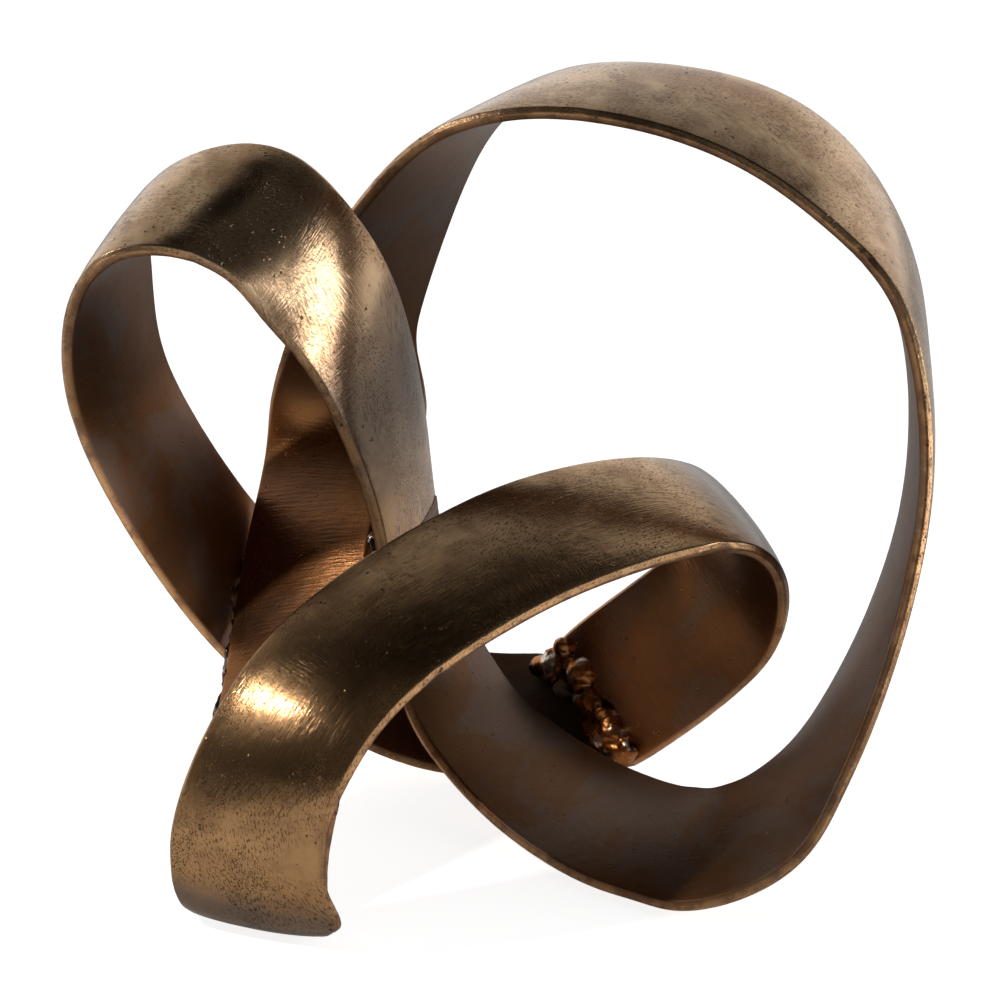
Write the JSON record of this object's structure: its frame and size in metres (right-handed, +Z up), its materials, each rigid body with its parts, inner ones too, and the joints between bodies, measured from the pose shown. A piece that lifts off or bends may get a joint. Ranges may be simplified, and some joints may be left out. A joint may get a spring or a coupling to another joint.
{
  "type": "metal knot sculpture",
  "caption": "Abstract knot sculpture of one wide cast-metal band that loops, crosses and runs through itself, welded into a closed loop, free-standing with a bronze finish.",
  "frame": {"origin": "under the middle of the knot's box, on the surface that it stands on", "axes": "+Z up, +X to the viewer's right, +Y away from the viewer"},
  "size_m": [0.2477, 0.174, 0.2083],
  "materials": {
    "bronze": "hand-polished cast metal with an antique bronze tone, fine pits and grinding marks",
    "ground_seam": "weld ground flush and polished with the band",
    "weld": "lumpy, glossy, heat-stained weld metal"
  },
  "bodies": {
    "root": {"front_ribbon": "bronze", "left_ribbon": "bronze", "big_ribbon": "bronze", "corner_bead": "weld", "rear_seam": "ground_seam", "foot_seam": "ground_seam", "base_tack": "weld", "right_tack": "weld", "left_tack": "weld"}
  },
  "joints": []
}
